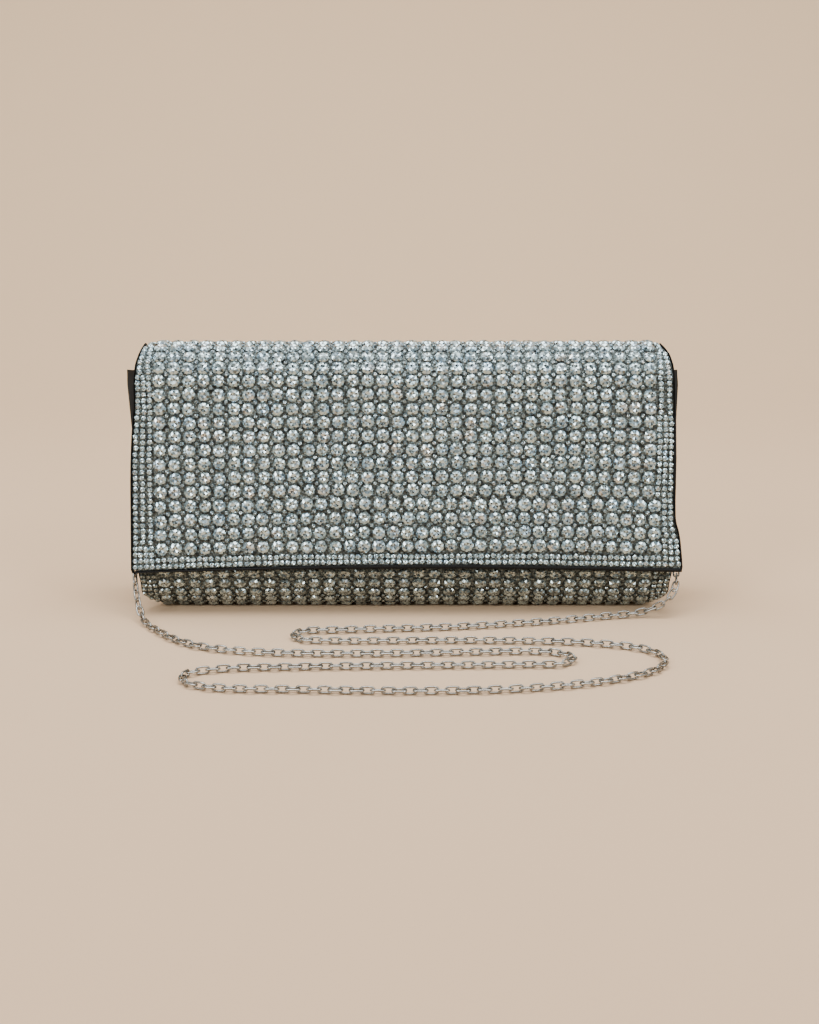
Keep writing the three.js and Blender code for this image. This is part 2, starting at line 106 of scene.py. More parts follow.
# the chain's route from the left clasp down to the floor, along its folds there as (x, y) or
# (x, y, z), and up to the right clasp
HANG_RIGHT = [
    (116.5, 4.3, 63.2), (116.7, 3.9, 52), (118.6, -0.5, 39), (123.3, -10.5, 29), (124.0, -18.3, 18.8),
]
HANG_LEFT = [
    (-116.5, 4.3, 63.2), (-116.7, 3.9, 52), (-119, -0.5, 39), (-123.8, -10.5, 29), (-124.7, -18.3, 18.8),
]
FOLDS = [
    (-122.8, -26, 10), (-120.2, -32.5, 4), (-116.7, -39.5), (-108.3, -52), (-100.2, -62),
    (-89.4, -70.2), (-76.2, -75.4), (-58, -78.9), (-14, -80), (28, -78.2), (52, -77.2),
    (64.5, -79.4), (69.8, -86), (64.5, -92.4),
    (50, -93.3), (0, -94.6), (-52, -96.4), (-77, -98.8), (-89, -104.6), (-88.4, -113), (-77, -119.4),
    (-40, -121.8), (6, -123.2), (50, -120), (84, -110.4), (102.5, -98.8), (107.7, -86), (101, -74.4),
    (80, -66.8), (36, -63.4), (-34, -63.6), (-45.4, -62), (-49.4, -56.4), (-44.6, -50.8), (-30, -49.2),
    (18, -45.2), (62, -37.6), (92, -29.6), (108, -27, 3), (117, -27.4, 7.2), (121.9, -25.6, 12.4),
]

# ---- end hardware ----
RING_X = 116.5
RING_Y = 4.3
RING_BAR_Z = 90.0
RING_HALF = 5.0
RING_DROP = 10.0
RING_WIRE = 0.8
TAB_TOP_Z = 103.0
TAB_FOOT_Z = 99.4
EYE_Z = 68.4
HOOK_Z = 76.4
LINK_RING_RADIUS = 2.2
LINK_RING_WIRE = 0.45


# ---- camera ----

CAMERA_DISTANCE = 619.5
CAMERA_HEIGHT = 204.0
CAMERA_PITCH = math.radians(14)
CAMERA_SIDE = 1.4


def add_object(name, data):
    thing = bpy.data.objects.new(name, data)
    bpy.context.collection.objects.link(thing)
    return thing


def add_camera():
    camera = add_object("camera", bpy.data.cameras.new("camera"))
    camera.data.lens = 50
    camera.data.sensor_width = 36
    camera.location = Vector((CAMERA_SIDE, FLAP_FRONT_Y - CAMERA_DISTANCE, CAMERA_HEIGHT)) * MM
    camera.rotation_euler = (math.pi / 2 - CAMERA_PITCH, 0, 0)
    bpy.context.scene.camera = camera


# ---- node materials ----

def add_node(owner, kind, **settings):
    """A node of a material or a world; a setting's underscores stand for an input's spaces."""
    node = owner.node_tree.nodes.new(f"ShaderNode{kind}")
    for key, value in settings.items():
        if hasattr(node, key):
            setattr(node, key, value)
        else:
            node.inputs[key.replace("_", " ")].default_value = value
    return node


def join(owner, source, output, target, socket):
    owner.node_tree.links.new(source.outputs[output], target.inputs[socket])


def on_object(material, kind, **settings):
    """A node that works on the object's own coordinates."""
    place = add_node(material, "TexCoord")
    node = add_node(material, kind, **settings)
    join(material, place, "Object", node, "Vector")
    return node


def clouds(scale, detail):
    return "TexNoise", {"Scale": scale, "Detail": detail, "Roughness": 0.55}


def waves(direction, scale, distortion):
    return "TexWave", {"wave_type": "BANDS", "bands_direction": direction, "Scale": scale,
                       "Distortion": distortion}


def ramp(owner, source, output, stops, target, socket):
    """A colour ramp between two nodes: stops are (position, colour)."""
    node = add_node(owner, "ValToRGB")
    elements = node.color_ramp.elements
    while len(elements) < len(stops):
        elements.new(0.5)
    for element, (position, color) in zip(elements, stops):
        element.position = position
        element.color = (*color, 1)
    join(owner, source, output, node, "Fac")
    join(owner, node, "Color", target, socket)


def new_material(name):
    material = bpy.data.materials.new(name)
    material.use_nodes = True
    return material, material.node_tree.nodes["Principled BSDF"]


def textured(name, texture, output, stops, relief=None, relief_texture=None, **values):
    """A material coloured by one output of a texture, with a relief of (strength, distance) from
    the same texture or another one. Gives the texture's node and the shader too."""
    material, shader = new_material(name)
    kind, settings = texture
    node = on_object(material, kind, **settings)
    ramp(material, node, output, stops, shader, "Base Color")
    if relief:
        bump = add_node(material, "Bump", Strength=relief[0], Distance=relief[1])
        source = on_object(material, relief_texture[0], **relief_texture[1]) if relief_texture else node
        join(material, source, output, bump, "Height")
        join(material, bump, "Normal", shader, "Normal")
    for key, value in values.items():
        shader.inputs[key.replace("_", " ")].default_value = value
    return material, node, shader


def crystal_material(name, tints, scale, roughness, strength):
    """Foil-backed stones: each facet mirrors the room, and neighbouring stones differ in tint; strength
    scales the tints, and the lower strengths give the painted shade and painted dark reflections.
    """
    tints = [(position, tuple(part * strength for part in tint)) for position, tint in tints]
    return textured(name, clouds(scale, 1.0), "Fac", tints, Metallic=0.68, Roughness=roughness,
                    Coat_Weight=1.0, Coat_Roughness=0.03)[0]


def satin_material(name, dark, light, weave, sheen):
    """Black satin: a fine diagonal weave, faint cloudy patches of painted light and shade standing for
    folds, and a soft sheen.
    """
    return textured(name, clouds(45.0, 4.0), "Fac", [(0.3, dark), (0.75, light)], (0.25, 0.00015),
                    waves("DIAGONAL", weave, 0.6), Roughness=0.52, Sheen_Weight=sheen,
                    Sheen_Roughness=0.4)[0]


def plated_material(name, dark, light, roughness):
    """Plated metal, a little duller where it is handled."""
    material, wear, shader = textured(name, clouds(260.0, 4.0), "Fac", [(0.3, dark), (0.7, light)],
                                      Metallic=1.0)
    dull = add_node(material, "MapRange", From_Min=0.3, From_Max=0.7,
                    To_Min=roughness, To_Max=roughness + 0.12)
    join(material, wear, "Fac", dull, "Value")
    join(material, dull, "Result", shader, "Roughness")
    return material


def floor_material():
    """A pale cloth with painted light: lighter towards the backdrop and darker in front."""
    material, shader = new_material("floor")
    kind, settings = clouds(9.0, 5.0)
    cloth = on_object(material, kind, **settings)
    axes = on_object(material, "SeparateXYZ")
    depth = add_node(material, "Math", operation="MULTIPLY_ADD")
    depth.inputs[1].default_value = 6.0
    join(material, axes, "Y", depth, 0)
    join(material, cloth, "Fac", depth, 2)
    scaled = add_node(material, "MapRange", From_Min=-3.0, From_Max=7.5)
    join(material, depth, "Value", scaled, "Value")
    # painted light: the cloth's colour runs from the darker front to the lighter back
    ramp(material, scaled, "Result", [(0.0, (0.56, 0.375, 0.232)), (1.0, (0.76, 0.54, 0.335))],
         shader, "Base Color")
    shader.inputs["Roughness"].default_value = 0.85
    return material


CLEAR_TINTS = [
    (0.30, (0.32, 0.46, 0.56)), (0.42, (0.43, 0.56, 0.59)), (0.52, (0.50, 0.61, 0.61)),
    (0.62, (0.38, 0.51, 0.59)), (0.72, (0.56, 0.58, 0.54)),
]
# the same stones' tints, darker and warmer: painted shade for the body's walls, whose stones face down
# towards the floor and its shadow
PAINTED_SHADE_TINTS = [
    (0.30, (0.14, 0.17, 0.16)), (0.42, (0.23, 0.27, 0.26)), (0.52, (0.43, 0.50, 0.47)),
    (0.62, (0.17, 0.21, 0.20)), (0.72, (0.48, 0.52, 0.48)),
]
# for each crystal look: its material's name, tints and noise scale, and the roughness and strength
# of its bright and of its dark facets, the dark facets' low strength being painted dark reflection
CRYSTALS = {
    "stone": ("foiled_crystal", CLEAR_TINTS, 150.0, (0.07, 1.0), (0.12, 0.2)),
    "small": ("foiled_small_crystal", CLEAR_TINTS, 320.0, (0.1, 1.18), (0.15, 0.2)),
    # the gap stones' lower strength (0.65) is painted shade in the hollows between the large stones
    "small_gap": ("foiled_gap_crystal", CLEAR_TINTS, 320.0, (0.12, 0.65), (0.15, 0.14)),
    "shaded": ("foiled_body_crystal", PAINTED_SHADE_TINTS, 150.0, (0.07, 1.0), (0.12, 0.2)),
    "small_shaded": ("foiled_small_body_crystal", PAINTED_SHADE_TINTS, 320.0, (0.1, 1.0), (0.15, 0.2)),
    "small_shaded_gap": ("foiled_gap_body_crystal", PAINTED_SHADE_TINTS, 320.0, (0.12, 0.65), (0.15, 0.14)),
}
MATERIALS = {
    f"{look}{dark}": crystal_material(f"{name}{dark}", tints, scale, *finish)
    for look, (name, tints, scale, *finishes) in CRYSTALS.items()
    for dark, finish in zip(("", "_dark"), finishes)
}
MATERIALS |= {
    # dark metal mesh between the stones, with the bright rims of its tiny settings
    "mesh": textured("mesh_metal", ("TexVoronoi", {"Scale": 900.0}), "Distance", [
        (0.0, (0.24, 0.27, 0.26)), (0.35, (0.085, 0.1, 0.095)), (0.8, (0.015, 0.018, 0.017)),
    ], (0.8, 0.0006), Metallic=0.75, Roughness=0.38)[0],
    "satin": satin_material("lining_satin", (0.012, 0.012, 0.014), (0.03, 0.03, 0.034), 900.0, 0.3),
    "gusset": satin_material("gusset_satin", (0.004, 0.004, 0.003), (0.012, 0.012, 0.01), 1100.0, 0.06),
    # black ribbed ribbon
    "edging": textured("black_edging", waves("X", 420.0, 0.3), "Fac",
                       [(0.2, (0.002, 0.002, 0.002)), (0.8, (0.007, 0.007, 0.007))], (0.4, 0.0002),
                       Roughness=0.7, Specular_IOR_Level=0.2)[0],
    "nickel": plated_material("nickel_plate", (0.50, 0.49, 0.46), (0.72, 0.71, 0.68), 0.14),
    "chain": plated_material("chain_wire", (0.24, 0.23, 0.21), (0.38, 0.365, 0.335), 0.2),
    # grey fibre board
    "board": textured("fibre_board", clouds(700.0, 6.0), "Fac",
                      [(0.3, (0.06, 0.058, 0.055)), (0.7, (0.15, 0.145, 0.14))], (0.3, 0.0003),
                      Roughness=0.9)[0],
    "floor": floor_material(),
}
SLOTS = {look: "crystal_mesh" for look in (*CRYSTALS, "mesh")}
SLOTS |= {
    "satin": "lining_satin", "gusset": "gusset_satin", "edging": "black_edging",
    "nickel": "nickel_hardware", "chain": "chain_metal",
}


# ---- meshes ----

def add_mesh(name, points, faces, looks, smooth=False, face_looks=None):
    """A mesh object from points in millimetres; looks names its materials."""
    mesh = bpy.data.meshes.new(name)
    mesh.from_pydata((np.asarray(points) * MM).tolist(), [], [list(map(int, face)) for face in faces])
    for look in looks:
        mesh.materials.append(MATERIALS[look])
    if face_looks is not None:
        mesh.polygons.foreach_set("material_index", np.asarray(face_looks, dtype=np.int32))
    mesh.polygons.foreach_set("use_smooth", np.full(len(mesh.polygons), smooth))
    mesh.update()
    piece = add_object(name, mesh)
    return piece


def unit(vectors):
    """Vectors along the last axis, each brought to length 1."""
    return vectors / np.linalg.norm(vectors, axis=-1, keepdims=True)


def grid_faces(rows, columns, closed_rows=False, closed_columns=False):
    """Quads over a grid of rows by columns points, joined up where it is closed."""
    faces = []
    for i in range(rows if closed_rows else rows - 1):
        for j in range(columns if closed_columns else columns - 1):
            k = (i + 1) % rows
            m = (j + 1) % columns
            faces.append((i * columns + j, i * columns + m, k * columns + m, k * columns + j))
    return faces


def add_piece(name, shape, look, sharp, body=None, node=None):
    """A closed piece from (points, faces), its faces turned outwards and its edges sharp from an angle
    in degrees; it rides body and replaces node where they are given."""
    piece = add_mesh(name, *shape, [look], smooth=True)
    mesh = piece.data
    points = np.array([vertex.co for vertex in mesh.vertices])
    mesh.calc_loop_triangles()
    corners = points[np.array([triangle.vertices for triangle in mesh.loop_triangles])]
    if np.einsum("ij,ij->i", corners[:, 0], np.cross(corners[:, 1], corners[:, 2])).sum() < 0:
        mesh.flip_normals()
    mesh.set_sharp_from_angle(angle=math.radians(sharp))
    if body:
        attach(piece, body)
    if node:
        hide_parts(node)
    return piece


def tube(path, normals, half_sizes, sides=12, closed=False, power=1.0):
    """A tube along path: normals set its width's direction, half_sizes its half width and thickness."""
    path = np.asarray(path, float)
    normals = np.broadcast_to(np.asarray(normals, float), path.shape)
    sizes = np.broadcast_to(np.asarray(half_sizes, float), (len(path), 2))
    if closed:
        tangents = np.roll(path, -1, 0) - np.roll(path, 1, 0)
    else:
        tangents = np.gradient(path, axis=0)
    tangents = unit(tangents)
    across = unit(normals - (normals * tangents).sum(1)[:, None] * tangents)
    other = np.cross(tangents, across)
    angles = np.arange(sides) * 2 * math.pi / sides
    c = np.sign(np.cos(angles)) * np.abs(np.cos(angles)) ** power
    s = np.sign(np.sin(angles)) * np.abs(np.sin(angles)) ** power
    points = (path[:, None] + across[:, None] * (c[None, :, None] * sizes[:, None, :1])
              + other[:, None] * (s[None, :, None] * sizes[:, None, 1:]))
    faces = grid_faces(len(path), sides, closed_rows=closed, closed_columns=True)
    if not closed:
        faces.append(tuple(range(sides - 1, -1, -1)))
        faces.append(tuple(range((len(path) - 1) * sides, len(path) * sides)))
    return points.reshape(-1, 3), faces


def ribbon(path, normals, half_sizes, sides=12):
    """A tube with the flattened section of a ribbon."""
    return tube(path, normals, half_sizes, sides, power=0.6)


def merged(parts):
    """Several (points, faces) as one."""
    points, faces, count = [], [], 0
    for part_points, part_faces in parts:
        points.append(np.asarray(part_points))
        faces += [tuple(index + count for index in face) for face in part_faces]
        count += len(part_points)
    return np.vstack(points), faces


def run_along(points):
    """How far along a line of points each one is."""
    return np.concatenate([[0], np.cumsum(np.linalg.norm(np.diff(points, axis=0), axis=1))])


def catmull(points, spacing, samples=40):
    """A centripetal Catmull-Rom curve through points, evenly spaced, with its whole length."""
    points = np.array(points, float)
    first = 2 * points[0] - points[1]
    last = 2 * points[-1] - points[-2]
    knots = np.vstack([first, points, last])
    fine = [points[0]]
    for i in range(1, len(knots) - 2):
        p = knots[i - 1:i + 3]
        t = np.concatenate([[0], np.cumsum(np.sqrt(np.linalg.norm(np.diff(p, axis=0), axis=1)))])
        for u in np.linspace(t[1], t[2], samples + 1)[1:]:
            a = [((t[k + 1] - u) * p[k] + (u - t[k]) * p[k + 1]) / (t[k + 1] - t[k]) for k in range(3)]
            b = [((t[k + 2] - u) * a[k] + (u - t[k]) * a[k + 1]) / (t[k + 2] - t[k]) for k in range(2)]
            fine.append(((t[2] - u) * b[0] + (u - t[1]) * b[1]) / (t[2] - t[1]))
    fine = np.array(fine)
    along = run_along(fine)
    even = np.linspace(0, along[-1], round(along[-1] / spacing) + 1)
    return np.stack([np.interp(even, along, fine[:, k]) for k in range(3)], 1), float(along[-1])


# ---- chain ----

LINK_STEPS = 18
LINK_SIDES = 7
LINK_STRAIGHT = 2.5  # the higher, the straighter a link's long sides
LINK_LEAN = math.radians(6)
LINK_PLAY = 9  # degrees


def link_outline():
    """An oval link's centreline in its own plane, as (along, across)."""
    angles = np.arange(LINK_STEPS) * 2 * math.pi / LINK_STEPS
    half_length = (LINK_LENGTH - LINK_WIRE) / 2
    half_width = (LINK_WIDTH - LINK_WIRE) / 2
    straight = np.clip(LINK_STRAIGHT * np.cos(angles), -1, 1)
    return half_width * np.cos(angles) + (half_length - half_width) * straight, half_width * np.sin(angles)


def add_chain():
    """Links in turn flat and on edge, each a little rolled, along one route from clasp to clasp."""
    folds = [point if len(point) == 3 else (*point, FLOOR_Z) for point in FOLDS]
    path, length = catmull([*HANG_LEFT, *folds, *HANG_RIGHT[::-1]], CHAIN_PITCH)
    centres = (path[1:] + path[:-1]) / 2
    tangents = unit(path[1:] - path[:-1])
    along, across = link_outline()
    parts = []
    for i, (centre, tangent) in enumerate(zip(centres, tangents)):
        upright = abs(tangent[2]) ** 3
        up = np.array([0, upright, 1 - upright])
        side = np.cross(tangent, unit(up - up @ tangent * tangent))
        lean = -LINK_LEAN * side[1] * (1 - upright)
        play = math.radians(RANDOM.uniform(-LINK_PLAY, LINK_PLAY))
        roll = (0.0 if i % 2 else math.pi / 2) + lean + play
        flat = math.cos(roll) * side + math.sin(roll) * np.cross(side, tangent)
        ring = centre + along[:, None] * tangent + across[:, None] * flat
        parts.append(tube(ring, np.cross(tangent, flat), LINK_WIRE / 2, LINK_SIDES, closed=True))
    chain = add_mesh("cable_chain", *merged(parts), ["chain"], smooth=True)
    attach(chain, "root")
    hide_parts("shoulder_chain")


# ---- wall courses ----

class Course:
    """A wall's outer surface as a curve in the YZ plane, measured along from its first point.
    turn is 1, or -1 where the curve runs the other way round."""

    def __init__(self, rows, turn=1.0):
        rows = np.array(rows)
        steps = np.linalg.norm(np.diff(rows[:, :2], axis=0), axis=1)
        self.rows = rows[np.concatenate([[True], steps > 1e-6])]
        self.s = run_along(self.rows[:, :2])
        self.length = float(self.s[-1])
        self.turn = turn

    def at(self, s):
        """(y, z) and the outward normal at s, run on straight past either end."""
        values = [np.interp(s, self.s, self.rows[:, k]) for k in range(4)]
        place = np.stack(values[:2], -1)
        normal = unit(np.stack(values[2:], -1))
        over = np.asarray(s) - np.clip(s, 0, self.length)
        tangent = np.stack([-normal[..., 1], normal[..., 0]], -1) * self.turn
        return place + tangent * np.asarray(over)[..., None], normal


def arc_rows(centre, radius, start, end, steps=60):
    angles = np.linspace(start, end, steps + 1)
    return [(centre[0] + radius * math.cos(a), centre[1] + radius * math.sin(a), math.cos(a), math.sin(a))
            for a in angles]


def line_rows(start, end, normal, steps=40):
    start, way = np.array(start), np.array(end) - start
    return [(*(start + way * t), *normal) for t in np.linspace(0, 1, steps + 1)]


FRONT_NORMAL = np.array([-math.cos(FRONT_LEAN), math.sin(FRONT_LEAN)])
BACK_NORMAL = np.array([math.cos(BACK_LEAN), math.sin(BACK_LEAN)])
FOLD_CENTRE = HINGE[1:] - BACK_NORMAL * FOLD_RADIUS
FRONT_ARC = MOUTH_HINGE[1:] - FRONT_NORMAL * BASE_FRONT_RADIUS
BACK_ARC_Z = (BASE_BACK_RADIUS - BASE_EDGE_RADIUS) * math.sin(BASE_EDGE_ANGLE) + BASE_EDGE_RADIUS


def line_at(point, normal, z):
    """The point at height z on the line through a point with this normal."""
    return np.array([point[0] - (z - point[1]) * normal[1] / normal[0], z])


def flap_course():
    tangent_point = FOLD_CENTRE + FRONT_NORMAL * FOLD_RADIUS
    hem = line_at(tangent_point, FRONT_NORMAL, HEM_Z)
    fold = arc_rows(FOLD_CENTRE, FOLD_RADIUS, math.pi - FRONT_LEAN, BACK_LEAN, 90)
    return Course(line_rows(hem, tangent_point, FRONT_NORMAL) + fold, turn=-1.0)


def front_course():
    top = line_at(MOUTH_HINGE[1:], FRONT_NORMAL, MOUTH_Z)
    return Course(line_rows(top, MOUTH_HINGE[1:], FRONT_NORMAL))


def back_arc_centre():
    """The back arc touches the back wall's line."""
    offset_line = HINGE[1:] - BACK_NORMAL * BASE_BACK_RADIUS
    return line_at(offset_line, BACK_NORMAL, BACK_ARC_Z)


def base_course():
    inset = BASE_FRONT_RADIUS - BASE_EDGE_RADIUS
    back = back_arc_centre()
    back_inset = BASE_BACK_RADIUS - BASE_EDGE_RADIUS
    front_tight = (FRONT_ARC[0] - inset * math.cos(BASE_EDGE_ANGLE), BASE_EDGE_RADIUS)
    back_tight = (back[0] + back_inset * math.cos(BASE_EDGE_ANGLE), BASE_EDGE_RADIUS)
    low = 1.5 * math.pi
    return Course(
        arc_rows(FRONT_ARC, BASE_FRONT_RADIUS, math.pi - FRONT_LEAN, math.pi + BASE_EDGE_ANGLE)
        + arc_rows(front_tight, BASE_EDGE_RADIUS, math.pi + BASE_EDGE_ANGLE, low, 16)
        + line_rows((front_tight[0], 0), (back_tight[0], 0), (0, -1), 12)
        + arc_rows(back_tight, BASE_EDGE_RADIUS, low, 2 * math.pi - BASE_EDGE_ANGLE, 16)
        + arc_rows(back, BASE_BACK_RADIUS, 2 * math.pi - BASE_EDGE_ANGLE, 2 * math.pi + BACK_LEAN))


def back_course():
    foot = back_arc_centre() + BACK_NORMAL * BASE_BACK_RADIUS
    return Course(line_rows(foot, HINGE[1:], BACK_NORMAL))


# the half widths at each height, from the hem up, as the finished edges have them
FLAP_LEFT = [(22.5, 125.3), (62, 124.8), (70, 124.6), (82, 124.0), (95, 122.9), (108, 122.7), (115, 122.0),
             (119, 121.0), (123.5, 119.6)]
FLAP_RIGHT = [(22.5, 125.7), (30, 125.0), (36, 124.3), (40, 123.5), (43, 122.5), (46, 122.0), (68, 121.4),
              (100, 120.9), (110, 120.6), (115, 120.0), (119, 119.0), (121.5, 117.6), (123.5, 116.0)]


# the body's lower corners stand out a little, and under the flap it is tucked in
FULL_CORNER_Z, FULL_CORNER_REACH = 6, 5
TUCK, TUCK_FROM_Z, TUCK_RUN = 0.9, 50, 50


def half_width(table):
    heights, halves = zip(*table)
    return lambda z: np.interp(z, heights, halves)


def body_half(extra, corner):
    """The body's half width: the frame's, with the finished edge and a fuller corner low down."""
    def half(z):
        t = np.clip((CORNER_Z - np.maximum(z, 0)) / CORNER_Z, 0, 1)
        fuller = corner * np.exp(-((z - FULL_CORNER_Z) / FULL_CORNER_REACH) ** 2)
        under_flap = TUCK * np.clip((z - TUCK_FROM_Z) / TUCK_RUN, 0, 1)
        return BASE_HALF + (BODY_HALF - BASE_HALF) * np.sqrt(1 - t * t) + extra + fuller - under_flap
    return half


# how far along a wall its hem's lift, its bow and its rise to the right are felt
HEM_LIFT_REACH = 14
HEM_LEVEL = 0.65  # where the hem's lift turns down, as a share of the way out, squared
BOW_AT, BOW_REACH = 34, 28
RISE_REACH = 60
EDGE_REACH = 9  # how far in from a side edge its drop starts


class Wall:
    """A covered wall: its course, its width at each height, and how soft its edges are."""

    def __init__(self, name, body, course, left, right, hem_lift=0.0, edge_drop=0.5, bow=0.0, rise=0.0):
        self.name, self.body, self.course, self.left, self.right = name, body, course, left, right
        self.hem_lift, self.edge_drop, self.bow, self.rise = hem_lift, edge_drop, bow, rise

    def place(self, x_from_left, s, depth):
        """Points at s along the course: x_from_left runs 0 to 1 across, depth inwards from the tips."""
        s, across, depth = np.broadcast_arrays(s, x_from_left, depth)
        outwards = (2 * across - 1) ** 2
        past_hem = np.maximum(s, 0)
        lift = self.hem_lift * (HEM_LEVEL - outwards) * np.exp(-past_hem / HEM_LIFT_REACH)
        lift = lift + self.bow * (1 - outwards) * np.exp(-((s - BOW_AT) / BOW_REACH) ** 2)
        lift = lift + self.rise * across ** 3 * np.exp(-(past_hem / RISE_REACH) ** 2)
        yz, normal = self.course.at(s + lift)
        left, right = -self.left(yz[..., 1]), self.right(yz[..., 1])
        x = left + (right - left) * across
        edge = np.minimum(x - left, right - x)
        drop = self.edge_drop * np.clip(1 - edge / EDGE_REACH, 0, 1) ** 2
        yz = yz - normal * (depth + drop)[..., None]
        points = np.concatenate([x[..., None], yz], -1)
        normals = np.concatenate([np.zeros_like(x)[..., None], normal], -1)
        return points, normals

    def sides(self, s):
        """Where the wall's left and right edges are at s."""
        yz, _ = self.course.at(s)
        return -float(self.left(yz[1])), float(self.right(yz[1]))

    def share(self, s, inset):
        """What share of the wall's width an inset is, at each s."""
        yz, _ = self.course.at(s)
        return inset / (self.left(yz[:, 1]) + self.right(yz[:, 1]))


BODY_SIDES = body_half(2.6, 2.2), body_half(1.3, 2.0)
WALLS = {
    "flap": Wall("flap", "flap", flap_course(), half_width(FLAP_LEFT), half_width(FLAP_RIGHT),
                 hem_lift=2.4, edge_drop=0.9, bow=1.3, rise=1.1),
    "front": Wall("front", "front_panel", front_course(), *BODY_SIDES),
    "base": Wall("base", "root", base_course(), *BODY_SIDES),
    "back": Wall("back", "root", back_course(), *BODY_SIDES),
}
SIDES = ((-1, "left"), (1, "right"))


# ---- stones ----

# which of a sector's table, star, kite and two girdle facets take the darkened crystal: painted dark
# reflections, the dark a real stone shows inside
PAINTED_DARK_REFLECTION_FACETS = [
    (0, 0, 0, 2, 0), (2, 0, 0, 0, 0), (0, 2, 0, 0, 2), (2, 0, 0, 0, 0),
    (0, 0, 2, 0, 0), (2, 0, 0, 2, 0), (0, 0, 0, 0, 0), (0, 2, 0, 0, 2),
]


TABLE_SHARE, CROWN_SHARE = 0.52, 0.82  # of a stone's radius


def stone_shape(radius, sides, depths):
    """A round stone: a sunk, faceted table, star and kite facets, a girdle, and its metal cup.
    depths are those of the table's middle, table, crown, girdle, and the cup's foot."""
    middle, table, crown, girdle, foot = depths

    def ring(count, reach, depth, turn=0.0):
        angles = (np.arange(count) + turn) * 2 * math.pi / count
        return np.stack([reach * np.cos(angles), reach * np.sin(angles), np.full(count, -depth)], 1)

    points = np.vstack([
        [[0, 0, -middle]], ring(sides, radius * TABLE_SHARE, table),
        ring(sides, radius * CROWN_SHARE, crown, 0.5),
        ring(2 * sides, radius, girdle), ring(2 * sides, radius, foot)])
    tables, crowns, girdles, feet = (1 + k * sides for k in (0, 1, 2, 4))
    faces, looks = [], []
    for i in range(sides):
        j = (i + 1) % sides
        before = (i - 1) % sides
        faces.append((0, tables + i, tables + j))
        faces.append((tables + i, crowns + i, tables + j))
        faces.append((tables + i, crowns + before, girdles + 2 * i, crowns + i))
        faces.append((crowns + i, girdles + 2 * i, girdles + 2 * i + 1))
        faces.append((crowns + i, girdles + 2 * i + 1, girdles + (2 * i + 2) % (2 * sides)))
        looks += PAINTED_DARK_REFLECTION_FACETS[i % len(PAINTED_DARK_REFLECTION_FACETS)]
    for i in range(2 * sides):
        j = (i + 1) % (2 * sides)
        faces.append((girdles + i, feet + i, feet + j, girdles + j))
        looks.append(1)
    faces.append(tuple(feet + i for i in range(2 * sides - 1, -1, -1)))
    looks.append(1)
    return points, faces, looks


LARGE_DEPTHS = (0.5, 0.05, 0.42, 1.25, 1.75)
LARGE = stone_shape(LARGE_RADIUS, 8, LARGE_DEPTHS)
BODY_LARGE = stone_shape(BODY_LARGE_RADIUS, 8, LARGE_DEPTHS)
FILL = stone_shape(FILL_RADIUS, 6, (0.9, 0.72, 0.88, 1.3, 1.75))
BORDER = stone_shape(BORDER_RADIUS, 6, (0.8, 0.6, 0.78, 1.2, 1.75))
DRIFT = 0.5  # how far whole runs of stones wander
DRIFT_ACROSS, DRIFT_ALONG, DRIFT_PLANE = 0.03, 0.05, 2.0
PLAY = {"shift": 0.1, "tilt": 3.0, "size": 0.025, "sink": 0.08}
BASE_SQUEEZE = 0.84  # how much shorter the base's stones are along the wall


def set_stones(name, wall, shape, look, seats):
    """One mesh of stones at seats, each an (x, s) pair on the wall, each a little different."""
    template, faces, looks = shape
    parts = []
    for x, s in seats:
        left, right = wall.sides(s)
        drift = DRIFT * noise.noise(Vector((x * DRIFT_ACROSS, s * DRIFT_ALONG, DRIFT_PLANE)))
        point, normal = wall.place((x + drift - left) / (right - left), s + drift, 0.0)
        axis_x = np.array([1.0, 0.0, 0.0])
        axis_y = np.cross(normal, axis_x)
        shift = RANDOM.normal(0, PLAY["shift"], 2)
        tilt = np.radians(RANDOM.normal(0, PLAY["tilt"], 2))
        spin = RANDOM.uniform(0, 2 * math.pi)
        size = 1 + RANDOM.normal(0, PLAY["size"])
        sink = abs(RANDOM.normal(0, PLAY["sink"]))
        up = unit(normal + tilt[0] * axis_x + tilt[1] * axis_y)
        first = unit(np.cross(axis_y, up))
        second = np.cross(up, first)
        turned = np.stack([math.cos(spin) * first + math.sin(spin) * second,
                           math.cos(spin) * second - math.sin(spin) * first, up])
        local = template * (size, size, 1) @ turned
        if wall.name == "base":
            local = local - (1 - BASE_SQUEEZE) * (local @ second)[:, None] * second
        placed = point + local + shift[0] * first + shift[1] * second - sink * normal
        parts.append((placed, faces))
    # the third material is the darkened crystal of the listed facets: painted dark reflection
    looks_used = [look, "mesh", f"{look}_dark"]
    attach(add_mesh(name, *merged(parts), looks_used, face_looks=looks * len(seats)), wall.body)


BORDER_SLACK = 0.05  # how much closer than their pitch the border's stones may be
BORDER_OVERHANG = 1.5  # how far a border row runs past the outermost large stones
BORDER_END = 1.4  # from a wall's far end to its last border row


def row_places(first, last, pitch):
    return np.linspace(first, last, max(round((last - first) / pitch), 1) + 1)


def small_columns(edge, stop):
    """Small stones across the border, from the wall's edge in to where the large ones stop."""
    room = abs(stop - edge)
    count = max(int(room / (BORDER_PITCH - BORDER_SLACK)), 1)
    step = math.copysign(room / count, stop - edge)
    return [edge + step * (k + 0.5) for k in range(count)]


